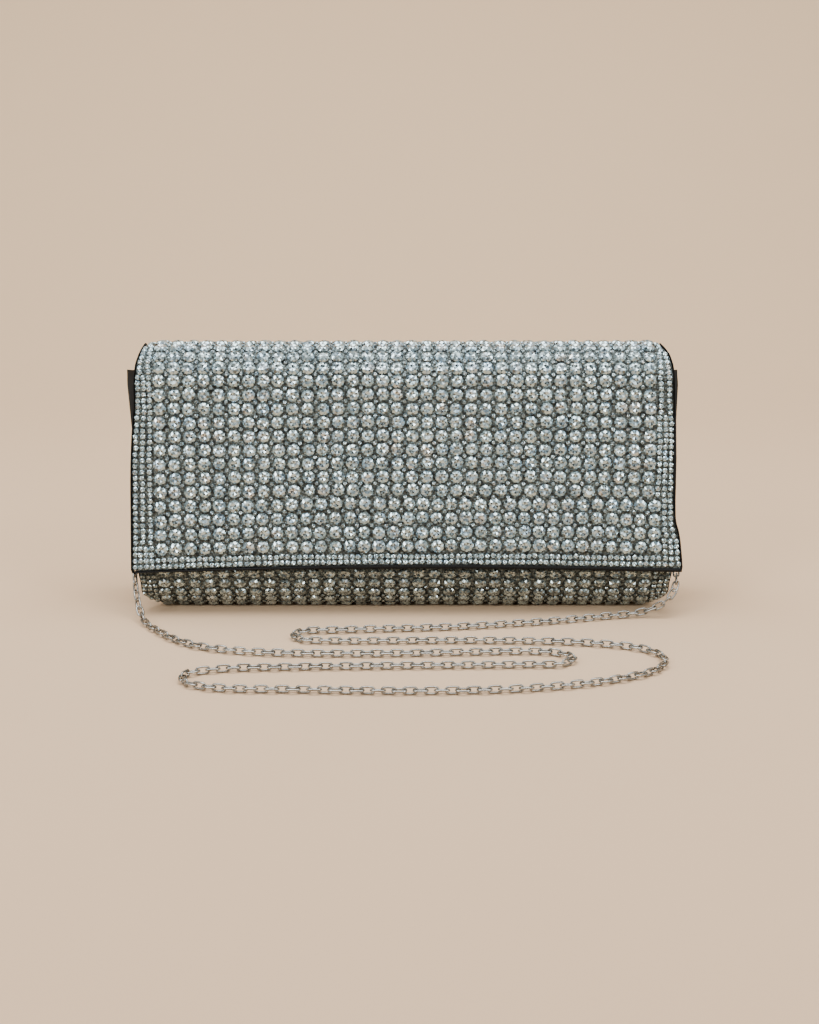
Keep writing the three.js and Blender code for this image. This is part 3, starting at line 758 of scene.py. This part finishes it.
def stone_wall(wall, rows, columns, border_rows, border_span, margin):
    """The wall's stones: the square grid, a small stone in each gap, and the small-stone borders.
    columns gives a row's places across by its number."""
    large, fill, border = [], [], []
    placed = []
    room = LARGE_RADIUS + margin
    for k, s in enumerate(rows):
        left, right = wall.sides(s)
        placed.append([x for x in columns(k) if left + room < x < right - room])
        large += [(x, s) for x in placed[-1]]
    gap = (rows[1] - rows[0]) / 2
    for k, s in enumerate(rows[:-1]):
        across = placed[k] if len(placed[k]) <= len(placed[k + 1]) else placed[k + 1]
        fill += [((a + b) / 2, s + gap) for a, b in zip(across, across[1:])]
    for s in row_places(*border_span, BORDER_PITCH):
        left, right = wall.sides(s)
        kept = placed[int(np.argmin(np.abs(np.array(rows) - s)))]
        first = max(kept[0] - LARGE_RADIUS, left + margin + 2 * BORDER_RADIUS)
        last = min(kept[-1] + LARGE_RADIUS, right - margin - 2 * BORDER_RADIUS)
        border += [(x, s) for x in small_columns(left + margin, first)]
        border += [(x, s) for x in small_columns(right - margin, last)]
    first, last = placed[0][0] - BORDER_OVERHANG, placed[0][-1] + BORDER_OVERHANG
    for s in border_rows:
        border += [(x, s) for x in row_places(first, last, BORDER_PITCH)]
    shape, large_look, small_look = LARGE, "stone", "small"
    # the front, base and back take the darker tints: painted shade on the same stones
    if wall.name != "flap":
        shape, large_look, small_look = BODY_LARGE, "shaded", "small_shaded"
    set_stones(f"{wall.name}_large_stones", wall, shape, large_look, large)
    set_stones(f"{wall.name}_gap_stones", wall, FILL, f"{small_look}_gap", fill)
    set_stones(f"{wall.name}_border_stones", wall, BORDER, small_look, border)


BODY_COLUMNS = np.linspace(-111.3, 109.6, 33)
LOWER_ROWS = 4
LOWER_COLUMNS = np.linspace(-111.1, 112.8, 35)
UPPER_COLUMNS = np.linspace(-111.1, 109.6, 34)
# for each wall: how far the first and the last row are from its ends, its border rows (from its far
# end where negative), where the side borders start, and the bare margin at its sides
STONE_LAYOUT = {
    "flap": (9.2, 3.1, (1.6, 4.3), 1.6, 0.6),
    "front": (4.9, 4.9, (1.5, -BORDER_END), 1.5, 1.2),
    "base": (4.8, 3.0, (1.3,), 1.3, 0.35),
    "back": (2.8, 3.2, (), 1.3, 0.35),
}


def flap_columns(row):
    """The mesh is joined above its fourth row: there is one column more below the join."""
    return LOWER_COLUMNS if row < LOWER_ROWS else UPPER_COLUMNS


def add_stones():
    for name, (first, last, border_rows, border_start, margin) in STONE_LAYOUT.items():
        wall = WALLS[name]
        length = wall.course.length
        pitch, columns = BODY_ROW_PITCH, lambda row: BODY_COLUMNS
        if name == "flap":
            pitch, columns = FLAP_ROW_PITCH, flap_columns
        stone_wall(wall, row_places(first, length - last, pitch), columns,
                   [s if s > 0 else length + s for s in border_rows],
                   (border_start, length - BORDER_END), margin)


# ---- sheets ----

SHEET_COLUMNS = 61
SHEET_END = 0.15
RIPPLE_SCALE = 0.06
SHARP_SHEET = 40
SHARP_SOLID = 60
# depths below the stones' tips
LINING_FROM = 4.2
BOARD_FROM, BOARD_TO = 2.95, 3.9
STRIP_FROM, STRIP_TO = WALL + 0.05, WALL + 0.4


def closed_sheet(outer, inner, rows, columns):
    """Two grids of points joined round their edges."""
    count = rows * columns
    faces = grid_faces(rows, columns)
    faces += [tuple(index + count for index in reversed(face)) for face in faces]
    rim = list(range(columns))
    rim += [i * columns + columns - 1 for i in range(1, rows)]
    rim += [(rows - 1) * columns + j for j in range(columns - 2, -1, -1)]
    rim += [i * columns for i in range(rows - 2, 0, -1)]
    for a, b in zip(rim, rim[1:] + rim[:1]):
        faces.append((b, a, a + count, b + count))
    return np.vstack([outer, inner]), faces


def add_sheet(name, wall, low, high, look, inset, rows, node, ripple=0.0):
    """A sheet over a whole wall, between two depths, in from the wall's sides by inset."""
    s = np.linspace(SHEET_END, wall.course.length - SHEET_END, rows)
    share = wall.share(s, inset)[:, None]
    across = share + (1 - 2 * share) * np.linspace(0, 1, SHEET_COLUMNS)
    sides = []
    for depth in (low, high):
        points, normals = wall.place(across, s[:, None], depth)
        if ripple:
            swell = np.array([[noise.noise(Vector(p * RIPPLE_SCALE)) for p in row] for row in points])
            points = points + normals * (swell * ripple)[..., None]
        sides.append(points.reshape(-1, 3))
    add_piece(name, closed_sheet(*sides, rows, SHEET_COLUMNS), look, SHARP_SHEET, wall.body, node)


def add_sheets():
    """Each wall's mesh and lining, and the flap's board."""
    rows = {"flap": 90, "front": 40, "base": 60, "back": 44}
    for name, wall in WALLS.items():
        inset = 0.9 if name == "flap" else 0.25
        add_sheet(f"{name}_crystal_mesh", wall, MESH_DEPTH, COVER, "mesh", inset, rows[name],
                  f"{name}_cover")
        add_sheet(f"{name}_satin_lining", wall, LINING_FROM, WALL, "satin", inset + 0.4, rows[name],
                  f"{name}_lining", ripple=0.12)
    add_sheet("flap_fibre_board", WALLS["flap"], BOARD_FROM, BOARD_TO, "board", 1.4, rows["flap"],
              "flap_board")


def edge_path(wall, side, s, inset, depth):
    """The points and normals along a wall's side edge."""
    share = wall.share(s, inset)
    return wall.place(share if side < 0 else 1 - share, s, depth - wall.edge_drop)


def add_side_edges():
    """Black ribbon folded over the layers at each wall's sides."""
    for name in ("front", "base", "back"):
        wall = WALLS[name]
        s = np.linspace(0.2, wall.course.length - 0.2, 60)
        for side, word in SIDES:
            edge = ribbon(*edge_path(wall, side, s, 0.3, 3.6), (1.7, 0.3))
            add_piece(f"{name}_{word}_edge", edge, "edging", SHARP_SOLID, wall.body)


def add_flap_edging():
    """Black ribbon down one side of the flap, along the hem and up the other side."""
    wall = WALLS["flap"]
    s = np.linspace(wall.course.length - 0.3, 0.9, 110)
    down, down_normals = edge_path(wall, -1, s, 0.35, 3.15)
    up, up_normals = edge_path(wall, 1, s[::-1], 0.35, 3.15)
    hem_across = np.linspace(0, 1, 121)
    hem, hem_normals = wall.place(0.003 + 0.994 * hem_across, -0.75, 2.7)
    corners = (down[-1] + hem[0]) / 2, (hem[-1] + up[0]) / 2
    path = np.vstack([down, corners[0], hem, corners[1], up])
    normals = np.vstack([down_normals, hem_normals[:1], hem_normals, hem_normals[:1], up_normals])
    half_depth = np.interp(path[:, 2], (60, 100), (2.0, 1.7))
    half_thickness = np.interp(path[:, 2], (60, 100), (0.42, 0.2))
    hem_start = len(down) + 1
    half_thickness[hem_start:hem_start + len(hem)] = 0.4 + 0.6 * np.clip(hem_across * 2.2, 0, 1)
    add_piece("flap_ribbon", ribbon(path, normals, np.stack([half_depth, half_thickness], 1)),
              "edging", SHARP_SOLID, "flap", "flap_binding")


def add_mouth_ribbon():
    """Black ribbon folded over the front's top edge."""
    points, normals = WALLS["front"].place(np.linspace(0.004, 0.996, 80), -1.0, 2.45)
    add_piece("mouth_ribbon", ribbon(points, normals, (2.35, 0.75), sides=14),
              "edging", SHARP_SOLID, "front_panel", "mouth_binding")


# the two folds: the walls before and after each, and which way the first of them runs to it
FOLD_PAIRS = (("back", "flap", -1), ("base", "front", 1))
FOLD_STEPS = 9
STRIP_BENDS_AT = 5  # the row of a strip where it starts to follow the second wall
STRIP_REACH = 9.0
RIBBON_REACH = 7.0
RIBBON_GAP = 0.2


def fold_rows(wall, next_wall, way, reach, gap):
    """Places along a wall up to the fold where it meets the next one, and on from there."""
    meets = wall.course.length if way < 0 else 0.0
    return (meets + way * np.linspace(reach, gap, FOLD_STEPS),
            next_wall.course.length - np.linspace(gap, reach, FOLD_STEPS))


def add_fold_strips():
    """Satin across the two folds, inside, where the lining turns from one wall to the next."""
    across = np.linspace(0.012, 0.988, SHEET_COLUMNS)
    for first, second, way in FOLD_PAIRS:
        wall, next_wall = WALLS[first], WALLS[second]
        before, after = fold_rows(wall, next_wall, way, STRIP_REACH, 0.0)
        rows = [(wall, s) for s in before] + [(next_wall, s) for s in after[1:]]
        grids = [np.vstack([on.place(across, s, depth)[0] for on, s in rows])
                 for depth in (STRIP_FROM, STRIP_TO)]
        piece = add_piece(f"{first}_to_{second}_satin", closed_sheet(*grids, len(rows), SHEET_COLUMNS),
                          "satin", SHARP_SOLID)
        start, end = (on.place(0.5, s, WALL)[0] * MM for on, s in (rows[STRIP_BENDS_AT], rows[-2]))
        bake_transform(piece)


def add_fold_ribbons():
    """The sides' ribbon carried across both folds, so that no end of a layer shows when a fold opens."""
    for first, second, way in FOLD_PAIRS:
        wall, next_wall = WALLS[first], WALLS[second]
        before, after = fold_rows(wall, next_wall, way, RIBBON_REACH, RIBBON_GAP)
        for side, word in SIDES:
            path, normals = (np.vstack(pair) for pair in zip(
                edge_path(wall, side, before, 0.4, 3.6), edge_path(next_wall, side, after, 0.4, 3.3)))
            widest = np.sin(np.linspace(0, math.pi, len(path)))
            sizes = np.stack([1.6 + 0.7 * widest, np.full(len(path), 0.15)], 1)
            piece = add_piece(f"{first}_to_{second}_ribbon_{word}", ribbon(path, normals, sizes),
                              "edging", SHARP_SOLID)
            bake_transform(piece)


# ---- gussets ----

GUSSET_LOW_Z = 7.5
GUSSET_FRONT_TOP = 110.5
GUSSET_BACK_TOP = 105.6
GUSSET_FOLD = 100.0
GUSSET_GAP = 0.5  # between a lining and the gusset's middle
GUSSET_BULGE = 1.15
GUSSET_ROWS, GUSSET_COLUMNS = 60, 57
SHARP_CLOTH = 50
GUSSET_OUTER = {
    "left": [(7.5, 119.4), (45, 122.0), (70, 124.0), (87, 125.5), (104, 126.9), (110.5, 126.8)],
    "right": [(7.5, 119.4), (30, 122.2), (42, 123.4), (70, 123.5), (88, 123.0), (104, 123.5),
              (110.5, 122.9)],
}


def gusset_span(z):
    """Where a gusset meets the front and the back at height z: just inside their linings."""
    found = []
    for normal, centre, radius, line_point in (
            (FRONT_NORMAL, FRONT_ARC, BASE_FRONT_RADIUS, MOUTH_HINGE[1:]),
            (BACK_NORMAL, back_arc_centre(), BASE_BACK_RADIUS, HINGE[1:])):
        reach = radius - WALL - GUSSET_GAP
        if z > centre[1] + reach * normal[1]:
            found.append(line_at(line_point - normal * (WALL + GUSSET_GAP), normal, z)[0])
        else:
            across = math.sqrt(reach ** 2 - (z - centre[1]) ** 2)
            found.append(centre[0] + math.copysign(across, normal[0]))
    return found


def gusset_y(z, across):
    """How far back a gusset is: level at both ends, where it is sewn to the walls."""
    front, back = gusset_span(z)
    return front + (back - front) * (across * across * (3 - 2 * across))


def gusset_grid(outer_table):
    """The gusset's middle surface, on the left: from the front edge in to the fold and back out."""
    half = half_width(outer_table)
    points = np.zeros((GUSSET_ROWS, GUSSET_COLUMNS, 3))
    for i in range(GUSSET_ROWS):
        for j in range(GUSSET_COLUMNS):
            across = j / (GUSSET_COLUMNS - 1)
            top = GUSSET_FRONT_TOP + (GUSSET_BACK_TOP - GUSSET_FRONT_TOP) * across
            z = GUSSET_LOW_Z + (top - GUSSET_LOW_Z) * i / (GUSSET_ROWS - 1)
            outer = float(half(z))
            fold = 1 - abs(2 * across - 1)
            inwards = fold ** GUSSET_BULGE + 0.03 * math.sin(3 * math.pi * fold)
            x = outer + (GUSSET_FOLD - outer) * inwards
            wrinkle = 0.5 * noise.noise(Vector((x * 0.11, across * 4, z * 0.05)))
            points[i, j] = (-x + wrinkle * min(1, fold * 3), gusset_y(z, across), z)
    return points


def add_gussets():
    """Black satin folded inwards at each end, thicker along its hemmed top."""
    for side, word in SIDES:
        middle = gusset_grid(GUSSET_OUTER[word])
        normal = unit(np.cross(np.gradient(middle, axis=1), np.gradient(middle, axis=0)))
        below_top = (1 - np.arange(GUSSET_ROWS) / (GUSSET_ROWS - 1)) * (GUSSET_FRONT_TOP - GUSSET_LOW_Z)
        thickness = (0.42 + 0.4 * np.exp(-(below_top / 1.6) ** 2))[:, None, None]
        flip = np.array([-side, 1, 1])
        faces_of = [((middle + way * normal * thickness) * flip).reshape(-1, 3) for way in (1, -1)]
        piece = add_piece(f"gusset_satin_{word}", closed_sheet(*faces_of, GUSSET_ROWS, GUSSET_COLUMNS),
                          "gusset", SHARP_CLOTH, node=f"gusset_{word}")
        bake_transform(piece)


# ---- pocket, snap and end hardware ----

POCKET_HALF = 62.0
POCKET_ROWS, POCKET_COLUMNS = 30, 41
POCKET_SOFT = 9  # how far in from its sides the pocket reaches its full slack
POCKET_CLOTH = 0.5


def add_slip_pocket():
    """A cloth panel on the back lining, a little slack at its open top."""
    low, high = node_box("slip_pocket")
    course = WALLS["back"].course
    grids = np.zeros((2, POCKET_ROWS, POCKET_COLUMNS, 3))
    for i, z in enumerate(np.linspace(low[2], high[2], POCKET_ROWS)):
        yz, normal = course.at(np.interp(z, course.rows[:, 1], course.s))
        up = i / (POCKET_ROWS - 1)
        foot = min(1.0, up * 6)
        for j, x in enumerate(np.linspace(-POCKET_HALF, POCKET_HALF, POCKET_COLUMNS)):
            edge = min(1.0, (POCKET_HALF - abs(x)) / POCKET_SOFT)
            slack = 0.25 + 1.5 * edge * foot + 0.5 * up ** 2 * edge
            for grid, thickness in zip(grids, (0.0, POCKET_CLOTH)):
                grid[i, j] = (x, *(yz - normal * (WALL + slack + thickness)))
    piece = add_piece("pocket_cloth", closed_sheet(*grids.reshape(2, -1, 3), POCKET_ROWS, POCKET_COLUMNS),
                      "satin", SHARP_CLOTH, "root", "slip_pocket")


def lathed(profile, origin, axis, segments=64):
    """A turned piece: profile is (radius, height) pairs from the axis round to the axis again."""
    side = np.array([1.0, 0, 0])
    other = np.cross(axis, side)
    angles = np.arange(segments) * 2 * math.pi / segments
    round_axis = np.cos(angles)[:, None] * side + np.sin(angles)[:, None] * other
    inner = profile[1:-1]
    points = [origin + axis * profile[0][1]]
    for radius, height in inner:
        points += list(origin + axis * height + radius * round_axis)
    points.append(origin + axis * profile[-1][1])
    faces = [tuple(1 + i for i in face) for face in
             grid_faces(len(inner), segments, closed_columns=True)]
    last = len(points) - 1
    for j in range(segments):
        k = (j + 1) % segments
        faces.append((0, 1 + k, 1 + j))
        faces.append((last, last - segments + j, last - segments + k))
    return np.array(points), faces


# each half of the snap: its body, and its profile as (radius, height along the front's normal)
SNAP = {
    "snap_socket": ("front_panel", [
        (0, -1.35), (8.6, -1.35), (9.0, -1.0), (9.0, 0.9), (8.7, 1.3), (7.6, 1.38), (7.2, 1.22),
        (5.2, 1.22), (4.8, 1.38), (3.9, 1.38), (3.5, 1.1), (3.5, -0.5), (0, -0.5)]),
    "snap_stud": ("flap", [
        (0, -2.2), (1.8, -2.2), (2.15, -1.95), (2.15, -0.8), (2.6, -0.7), (7.2, -0.7), (8.5, -0.5),
        (9.0, -0.1), (9.0, 0.6), (8.7, 0.8), (0, 0.8)]),
}


def add_snap():
    """Both halves of the magnetic snap, turned about the middle of their nodes."""
    for node, (body, profile) in SNAP.items():
        low, high = node_box(node)
        shape = lathed(profile, (low + high) / 2, np.array([0.0, *FRONT_NORMAL]))
        add_piece(f"{node}_cap", shape, "nickel", SHARP_CLOTH, body, node)


X_AXIS = (1.0, 0, 0)
Y_AXIS = (0, 1.0, 0)
RING_CORNER = 1
RING_SHOULDER = 3.4
CLASP_EYE_RADIUS = 1.45
CLASP_EYE_WIRE = 0.45
CLASP_HALF_Y, CLASP_HALF_Z = 2.9, 5.4


def at_ring(side, points):
    """Points round a ring's middle moved out to the purse's left or right end."""
    return np.array([(side * RING_X + x, RING_Y + y, z) for x, y, z in points])


def d_ring_outline():
    corner = RING_HALF - RING_CORNER
    flat = [(x, 0, RING_BAR_Z) for x in np.linspace(-corner, corner, 9)]
    right = [(corner + math.sin(a), 0, RING_BAR_Z - RING_CORNER + math.cos(a)) for a in (0.5, 1.1)]
    bow = [(RING_HALF * math.cos(a), 0,
            RING_BAR_Z - RING_SHOULDER - (RING_DROP - RING_SHOULDER) * math.sin(a))
           for a in np.linspace(0, math.pi, 23)]
    left = [(-x, y, z) for x, y, z in reversed(right)]
    return flat + right + bow + left


def circle(centre_z, radius, steps=36):
    """A circle as (across, z)."""
    angles = np.arange(steps) * 2 * math.pi / steps
    return [(radius * math.cos(a), centre_z + radius * math.sin(a)) for a in angles]


def clasp_arc(start, end, count):
    """Part of the clasp's oval, from one angle to another, in degrees."""
    return [(0, CLASP_HALF_Y * math.cos(a), HOOK_Z + CLASP_HALF_Z * math.sin(a))
            for a in np.linspace(math.radians(start), math.radians(end), count)]


def hook_body(side):
    """A lobster clasp's hook: thick at its back, tapering to its beak, with the eye below."""
    path = clasp_arc(-46, -325, 46)
    taper = 1 - 0.3 * np.linspace(0, 1, len(path)) ** 2
    sizes = np.stack([1.1 * taper, 0.86 * taper], 1)
    hook = tube(at_ring(side, path), X_AXIS, sizes, power=0.8)
    eye = [(0, y, z) for y, z in circle(EYE_Z, CLASP_EYE_RADIUS)]
    neck = [(0, 0, EYE_Z + 1.2), (0, 0.2, HOOK_Z - 5.2)]
    return merged([hook, tube(at_ring(side, eye), X_AXIS, CLASP_EYE_WIRE, closed=True),
                   tube(at_ring(side, neck), X_AXIS, 0.8)])


def trigger_body(side):
    """The clasp's sprung lever, with a nub for the thumb."""
    lever = tube(at_ring(side, clasp_arc(-37, 25, 18)), X_AXIS, (0.95, 0.6), power=0.8)
    nub = [(0, 2.9, HOOK_Z - 1.4), (0, 3.9, HOOK_Z - 1.0), (0, 4.3, HOOK_Z - 0.7)]
    return merged([lever, tube(at_ring(side, nub), X_AXIS, [(0.8, 0.5), (0.7, 0.45), (0.45, 0.3)])])


def joining_ring(side):
    """The jump ring between the clasp's eye and the chain's last link."""
    outline = circle(EYE_Z + 0.2 - LINK_RING_RADIUS, LINK_RING_RADIUS)
    return tube(at_ring(side, [(x, 0, z) for x, z in outline]), Y_AXIS, LINK_RING_WIRE, closed=True)


def sewn_y(z, outer_table):
    """How far back a gusset's back half is beside the ring, at height z."""
    outer = float(half_width(outer_table)(z))
    fold = ((outer - RING_X) / (outer - GUSSET_FOLD)) ** (1 / GUSSET_BULGE)
    return gusset_y(z, 1 - fold / 2) - RING_Y


def strap_loop(side, outer_table):
    """A ribbon tab round the ring's bar, its two ends sewn together to the gusset's back half."""
    loop = [(0, 1.75 * math.cos(a), RING_BAR_Z + 1.75 * math.sin(a))
            for a in np.linspace(math.radians(60), math.radians(-240), 26)]
    top, foot = (sewn_y(z, outer_table) for z in (TAB_TOP_Z, TAB_FOOT_Z))
    tail = [(0, top - 1.0, TAB_TOP_Z), (0, foot - 1.0, TAB_FOOT_Z), (0, 3.4, 96.4), (0, 2.2, 94.0)]
    end = [(0, 1.1, 94.2), (0, 2.5, 96.8), (0, foot - 1.8, TAB_FOOT_Z), (0, top - 1.8, TAB_TOP_Z)]
    path = at_ring(side, tail + loop + end)
    turned = np.interp(path[:, 2], (94, TAB_FOOT_Z), (0, 0.62))
    widths = np.stack([np.ones(len(path)), side * turned, np.zeros(len(path))], 1)
    return tube(path, widths, (3.4, 0.4), power=0.4)


def add_ends():
    """At each end the loop, the ring, the clasp with its trigger, and the jump ring."""
    for side, word in SIDES:
        d_ring = tube(at_ring(side, d_ring_outline()), Y_AXIS, RING_WIRE, closed=True)
        for name, node, shape, look, body in (
                ("ring_ribbon", "ring_tab", strap_loop(side, GUSSET_OUTER[word]), "gusset", "root"),
                ("ring_wire", "d_ring", d_ring, "nickel", "root"),
                ("clasp_hook", "clasp", hook_body(side), "nickel", "root"),
                ("clasp_lever", "clasp_trigger", trigger_body(side), "nickel", f"{word}_trigger"),
                ("joining_ring", "link_ring", joining_ring(side), "nickel", "root")):
            add_piece(f"{name}_{word}", shape, look, SHARP_SOLID, body, f"{node}_{word}")


def dress_frame_nodes():
    """The CAD nodes that stay: stiffener boards, washers and the clasps' pins."""
    looks = {"board": "board", "washer": "nickel", "pin": "nickel"}
    for name in frame["nodes"]:
        for word, look in looks.items():
            if word in name:
                node = bpy.data.objects[name]
                for slot in node.material_slots:
                    slot.material = MATERIALS[look]


# ---- stage and lights ----

STAGE_HALF = 2.4  # metres, as are the stage's other sizes
STAGE_FRONT, STAGE_FLAT_TO, STAGE_CURVE, STAGE_TOP = -2.2, 0.5, 0.9, 2.6


def add_stage():
    """A pale floor that curves up into a backdrop."""
    profile = [(STAGE_FRONT, 0.0), (STAGE_FLAT_TO, 0.0)]
    profile += [(STAGE_FLAT_TO + STAGE_CURVE * math.sin(a), STAGE_CURVE - STAGE_CURVE * math.cos(a))
                for a in np.linspace(0.05, math.pi / 2, 16)]
    profile.append((STAGE_FLAT_TO + STAGE_CURVE, STAGE_TOP))
    points = [(x / MM, y / MM, z / MM) for y, z in profile for x in (-STAGE_HALF, STAGE_HALF)]
    faces = [(2 * i, 2 * i + 1, 2 * i + 3, 2 * i + 2) for i in range(len(profile) - 1)]
    add_mesh("floor", points, faces, ["floor"], smooth=True)


def add_light(name, location, target, size, energy, color):
    light = add_object(name, bpy.data.lights.new(name, "AREA"))
    light.data.shape = "RECTANGLE"
    light.data.size, light.data.size_y = size
    light.data.energy = energy
    light.data.color = color
    light.location = location
    light.rotation_euler = (Vector(target) - Vector(location)).to_track_quat("-Z", "Y").to_euler()


def add_lights():
    middle = (0, 0, 0.06)
    add_light("overhead", (0.0, -0.1, 1.3), middle, (1.3, 0.9), 26.0, (0.98, 0.99, 1.0))
    add_light("front_left", (-1.1, -1.3, 0.9), middle, (0.5, 0.7), 10.0, (0.95, 0.98, 1.0))
    add_light("front_right", (1.2, -1.1, 0.8), middle, (0.35, 0.6), 7.0, (0.96, 0.98, 1.0))


def add_world():
    """A studio with bright and dark patches, which the facets pick up one by one, and darker in front."""
    world = bpy.data.worlds.new("studio")
    bpy.context.scene.world = world
    world.use_nodes = True
    background = world.node_tree.nodes["Background"]
    place = add_node(world, "TexCoord")
    patches = add_node(world, "TexNoise", Scale=4.5, Detail=1.5)
    join(world, place, "Generated", patches, "Vector")
    tones = ((0.42, 0.02), (0.48, 0.12), (0.54, 0.9), (0.62, 3.2))
    ramp(world, patches, "Fac", [(at, (tone * 0.95, tone * 0.99, tone)) for at, tone in tones],
         background, "Color")
    axes = add_node(world, "SeparateXYZ")
    join(world, place, "Generated", axes, "Vector")
    front = add_node(world, "MapRange", From_Min=-0.99, From_Max=-0.86, To_Min=0.12, To_Max=0.95)
    join(world, axes, "Y", front, "Value")
    join(world, front, "Result", background, "Strength")


# ---- the whole ----

add_camera()
add_chain()
add_sheets()
add_stones()
add_flap_edging()
add_side_edges()
add_mouth_ribbon()
add_fold_strips()
add_fold_ribbons()
add_gussets()
add_slip_pocket()
add_snap()
add_ends()
dress_frame_nodes()
add_stage()
add_lights()
add_world()
